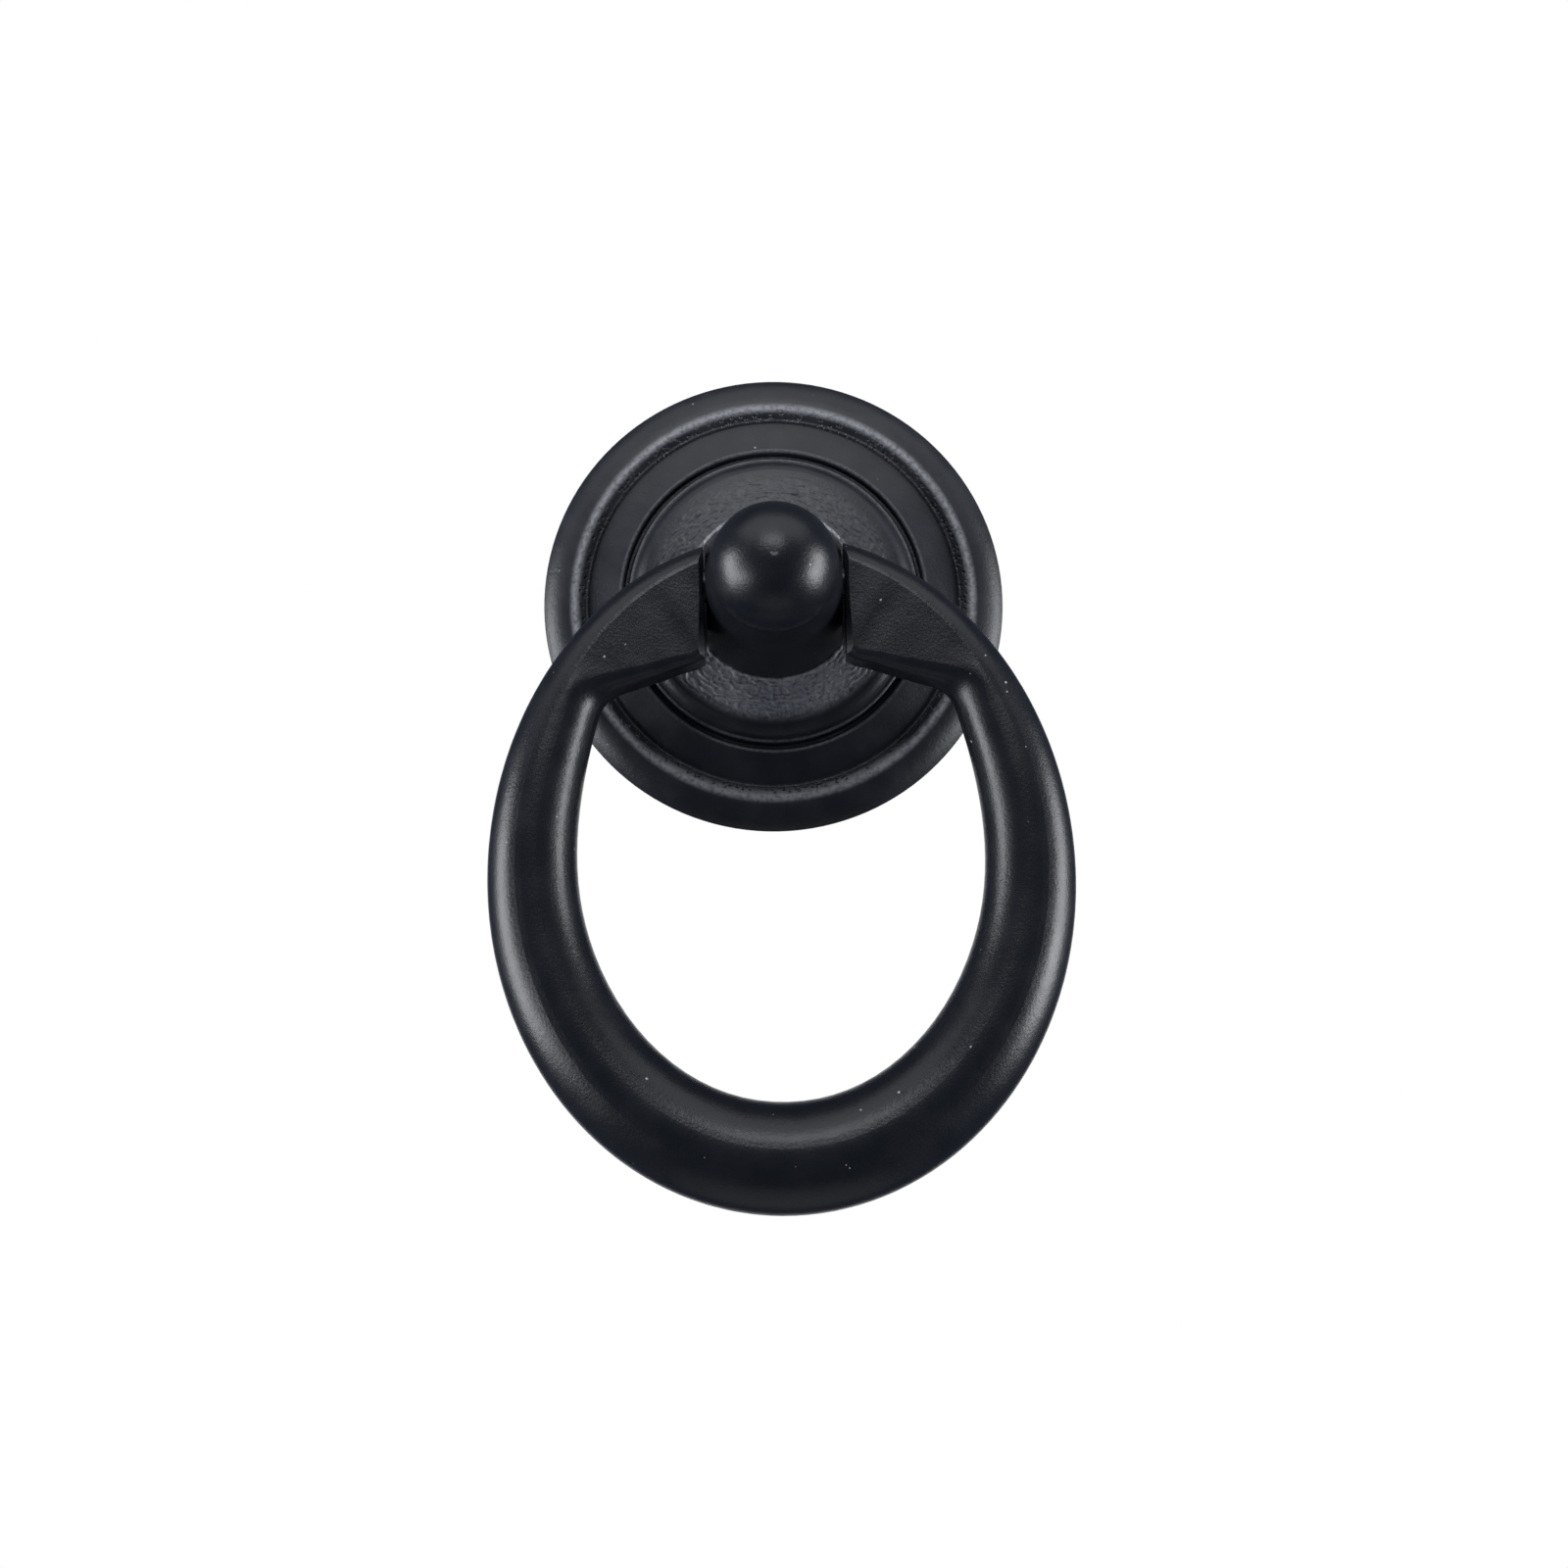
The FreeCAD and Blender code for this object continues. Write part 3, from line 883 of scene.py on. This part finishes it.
@dataclass
class Post:
    """The ball-ended post, the paint seam round its foot and the thread in its screw hole."""

    node: str = "post"
    body: Body = Body.BASE
    flat_half_width: float = 6.0 * MM
    seam_radius: float = 7.72 * MM
    seam_reach: float = 5.03 * MM
    seam_thickness: float = 0.28 * MM
    seam_lump_size: float = 0.5 * MM
    seam_lump_depth: float = 0.55 * MM
    seam_steps: int = 420
    seam_sides: int = 12
    thread_outer: float = 1.66 * MM
    thread_inner: float = 1.56 * MM
    thread_pitch: float = 0.7 * MM
    thread_fullness: float = 0.62
    thread_turns: int = 8
    thread_start: float = 0.3 * MM
    thread_steps: int = 40
    thread_crease: float = 30.0

    def build_seam(self) -> bpy.types.Object:
        """Builds the uneven line of paint where the foot meets the rosette.

        Returns:
            The seam.
        """
        deselect_all()
        bpy.ops.mesh.primitive_torus_add(
            major_segments=self.seam_steps, minor_segments=self.seam_sides, major_radius=self.seam_radius,
            minor_radius=self.seam_thickness, location=(0.0, -self.seam_reach, 0.0), rotation=FACING_OUT,
        )
        seam = settle(bpy.context.object, "foot_seam")
        edit_whole()
        for side in (1.0, -1.0):
            bpy.ops.mesh.select_all(action="SELECT")
            bpy.ops.mesh.bisect(
                plane_co=(side * self.flat_half_width, 0.0, 0.0), plane_no=(side, 0.0, 0.0),
                use_fill=True, clear_outer=True,
            )
        bpy.ops.object.mode_set(mode="OBJECT")
        add_lumps(seam, "seam_lumps", self.seam_lump_size, self.seam_lump_depth)
        apply_modifiers(seam)
        bpy.ops.object.shade_smooth()
        return seam

    def wind(self, thread: bpy.types.Object) -> None:
        """Winds the ridge's outline into a helix about Z.

        Args:
            thread: The outline.
        """
        winding = thread.modifiers.new("winding", "SCREW")
        winding.axis = "Z"
        winding.angle = math.tau
        winding.screw_offset = self.thread_pitch
        winding.iterations = self.thread_turns
        winding.steps = self.thread_steps
        winding.render_steps = self.thread_steps
        apply_modifiers(thread)

    def build_thread(self) -> bpy.types.Object:
        """Builds the screw thread's ridge, wound up the hole.

        Returns:
            The thread.
        """
        width = self.thread_pitch * self.thread_fullness
        depth = 2.0 * (self.thread_outer - self.thread_inner) / width
        middle = (self.thread_outer, 0.0, 0.0)
        deselect_all()
        bpy.ops.mesh.primitive_circle_add(
            vertices=4, radius=width / 2, fill_type="NOTHING", location=middle, rotation=FACING_OUT
        )
        thread = settle(bpy.context.object, "screw_thread")
        edit_whole()
        bpy.ops.transform.resize(value=(depth, 1.0, 1.0), center_override=middle)
        bpy.ops.object.mode_set(mode="OBJECT")
        self.wind(thread)
        edit_whole()
        bpy.ops.mesh.remove_doubles(threshold=MERGE_DISTANCE)
        bpy.ops.mesh.select_all(action="DESELECT")
        bpy.ops.mesh.select_non_manifold()
        bpy.ops.mesh.fill()
        bpy.ops.object.mode_set(mode="OBJECT")
        mend_mesh(thread)
        bpy.ops.object.shade_smooth_by_angle(angle=math.radians(self.thread_crease))
        thread.rotation_euler = FACING_OUT
        thread.location.y = -self.thread_start
        return settle(thread, thread.name)

    def build(self, smooth: bpy.types.Material, cast: bpy.types.Material) -> None:
        """Dresses the post and adds its seam and thread.

        Args:
            smooth: The post's paint.
            cast: The rosette's paint, which the seam has too.
        """
        paint_node(self.node, self.body, smooth)
        attach(self.build_seam(), self.body, cast)
        attach(self.build_thread(), self.body, smooth)


@dataclass
class Ring:
    """The swinging ring."""

    node: str = "ring"
    body: Body = Body.RING

    def build(self, smooth: bpy.types.Material) -> None:
        """Dresses the ring."""
        paint_node(self.node, self.body, smooth)


@dataclass(frozen=True)
class Softbox:
    """A studio lamp that faces the handle, placed by the way it lies from there, in degrees.

    Azimuth turns from the front to the right and elevation turns up.
    """

    name: str
    azimuth: float
    elevation: float
    width: float
    height: float
    radiance: float
    distance: float = 0.5
    centre: tuple[float, float, float] = (0.0, -0.01, -0.02)
    colour: tuple[float, float, float] = (0.95, 0.97, 1.0)

    def build(self) -> None:
        """Adds the lamp, unseen by the camera."""
        data = bpy.data.lights.new(self.name, "AREA")
        data.shape = "RECTANGLE"
        data.size = self.width
        data.size_y = self.height
        data.color = self.colour
        data.energy = self.radiance * self.width * self.height * math.pi
        lamp = bpy.data.objects.new(self.name, data)
        away = direction(math.radians(self.azimuth), math.radians(self.elevation))
        lamp.location = Vector(self.centre) + away * self.distance
        lamp.rotation_euler = away.to_track_quat("Z", "Y").to_euler()
        lamp.visible_camera = False
        bpy.context.scene.collection.objects.link(lamp)
        LOG.info("%s: lit", self.name)


def direction(turn: float, rise: float) -> Vector:
    """Gives the way out from the door, turned to the right and raised.

    Args:
        turn: The angle to the right, in radians.
        rise: The angle up, in radians.

    Returns:
        The unit vector.
    """
    level = math.cos(rise)
    return Vector((math.sin(turn) * level, -math.cos(turn) * level, math.sin(rise)))


@dataclass
class Studio:
    """The pale floor well below the handle, the white backdrop, the dim surroundings and the lamps."""

    floor_size: float = 0.6
    floor_drop: float = 0.62
    surround: tuple[float, float, float, float] = (0.05, 0.06, 0.085, 1.0)
    backdrop_edge: float = 0.9
    lamps: tuple[Softbox, ...] = (
        Softbox("left_softbox", -60.0, -17.0, 0.085, 0.08, 4.5, 0.26),
        Softbox("left_edge_softbox", -82.0, -2.0, 0.2, 0.3, 8.0, 0.4),
        Softbox("right_softbox", 71.0, -12.0, 0.085, 0.08, 4.5, 0.26),
        Softbox("right_edge_softbox", 83.0, -2.0, 0.2, 0.3, 7.8, 0.4),
        Softbox("front_softbox", -2.0, 35.5, 0.22, 0.11, 4.7, 0.4),
        Softbox("top_softbox", 0.0, 66.0, 1.0, 0.42, 1.0),
    )

    def build_floor(self) -> None:
        """Adds the floor."""
        deselect_all()
        bpy.ops.mesh.primitive_plane_add(size=self.floor_size, location=(0.0, 0.0, -self.floor_drop))
        floor = settle(bpy.context.object, "floor")
        dress(floor, FloorPaper().material())
        LOG.info("%s: placed", floor.name)

    def build_surround(self) -> None:
        """Makes all that the camera sees behind the handle white, also in its gloss, and the rest dim."""
        world = bpy.data.worlds.new("studio")
        bpy.context.scene.world = world
        world.use_nodes = True
        graph = Graph(world.node_tree)
        graph.tree.nodes.clear()
        ray = graph.add("ShaderNodeLightPath")
        sight = graph.add("ShaderNodeTexCoord").outputs["Generated"]
        towards = graph.add("ShaderNodeSeparateXYZ", {0: sight}).outputs["Y"]
        behind = graph.compute("GREATER_THAN", towards, self.backdrop_edge)
        mirrored = graph.compute("MULTIPLY", ray.outputs["Is Glossy Ray"], behind)
        seen = graph.compute("MAXIMUM", ray.outputs["Is Camera Ray"], ray.outputs["Is Transmission Ray"])
        colour = graph.mix(graph.compute("MAXIMUM", seen, mirrored), self.surround, WHITE)
        sky = graph.add("ShaderNodeBackground", {"Color": colour, "Strength": 1.0})
        graph.add("ShaderNodeOutputWorld", {"Surface": sky.outputs[0]})
        LOG.info("%s: surrounded", world.name)

    def build(self) -> None:
        """Adds the floor, the surroundings and the lamps."""
        self.build_floor()
        self.build_surround()
        for lamp in self.lamps:
            lamp.build()


@dataclass(frozen=True)
class PhotoCamera:
    """The camera at the photograph's viewing angle, with its focal length in pixels of the photograph.

    It lies at a turn and a rise from its aim and rolls about its line of sight, all in radians.
    """

    name: str = "photo_camera"
    aim: tuple[float, float, float] = (0.51 * MM, 0.0, -16.53 * MM)
    distance: float = 0.2322
    turn: float = -0.0103
    rise: float = -0.13694
    roll: float = 0.02737
    focal_pixels: float = 2600.0

    def build(self) -> None:
        """Adds the camera and makes it the scene's own."""
        back = direction(self.turn, self.rise)
        upright = Vector((math.sin(self.roll), 0.0, math.cos(self.roll)))
        right = upright.cross(back).normalized()
        axes = Matrix((right, back.cross(right), back)).transposed().to_4x4()
        axes.translation = Vector(self.aim) + back * self.distance
        data = bpy.data.cameras.new(self.name)
        data.sensor_width = SENSOR_WIDTH
        data.lens = self.focal_pixels / PHOTO_WIDTH * SENSOR_WIDTH
        camera = bpy.data.objects.new(self.name, data)
        camera.matrix_world = axes
        bpy.context.scene.collection.objects.link(camera)
        bpy.context.scene.camera = camera
        LOG.info("%s: %.1f mm lens", self.name, data.lens)


SMOOTH_BLACK = PaintFinish(
    name="smooth_black_paint",
    colour=(0.005, 0.0065, 0.0095), worn_colour=(0.008, 0.0095, 0.013),
    dust_colour=(0.4, 0.41, 0.43), painted_highlight_colour=(0.09, 0.092, 0.1),
    roughness=0.33, roughness_spread=0.12, patch_size=3.2 * MM,
    grain_size=0.24 * MM, grain_depth=0.02 * MM,
    ripple_size=1.6 * MM, ripple_depth=0.014 * MM,
    pit_spacing=1.1 * MM, pit_depth=0.0008 * MM,
    dust_spacing=1.5 * MM, dust_share=0.34, dust_size=0.065,
)
CAST_BLACK = CastFinish(
    name="cast_black_paint",
    colour=(0.011, 0.013, 0.0175), worn_colour=(0.019, 0.021, 0.026),
    # The pale colour of the rosette's painted highlights
    dust_colour=(0.35, 0.36, 0.38), painted_highlight_colour=(0.36, 0.365, 0.385),
    roughness=0.4, roughness_spread=0.14, patch_size=3.0 * MM,
    grain_size=0.2 * MM, grain_depth=0.014 * MM,
    ripple_size=1.1 * MM, ripple_depth=0.05 * MM,
    pit_spacing=0.45 * MM, pit_depth=0.16 * MM,
    dust_spacing=1.4 * MM, dust_share=0.12, dust_size=0.06,
)


def main() -> None:
    """Builds the handle, its stage, its light and its camera, in order."""
    logging.basicConfig(level=logging.INFO, format="%(message)s")
    effects = PaintEffects()
    smooth, cast = SMOOTH_BLACK.material(effects), CAST_BLACK.material(effects)
    Rosette().build(cast)
    Post().build(smooth, cast)
    Ring().build(smooth)
    Studio().build()
    PhotoCamera().build()
    bpy.context.scene.view_settings.view_transform = "Standard"


if __name__ == "__main__":
    main()
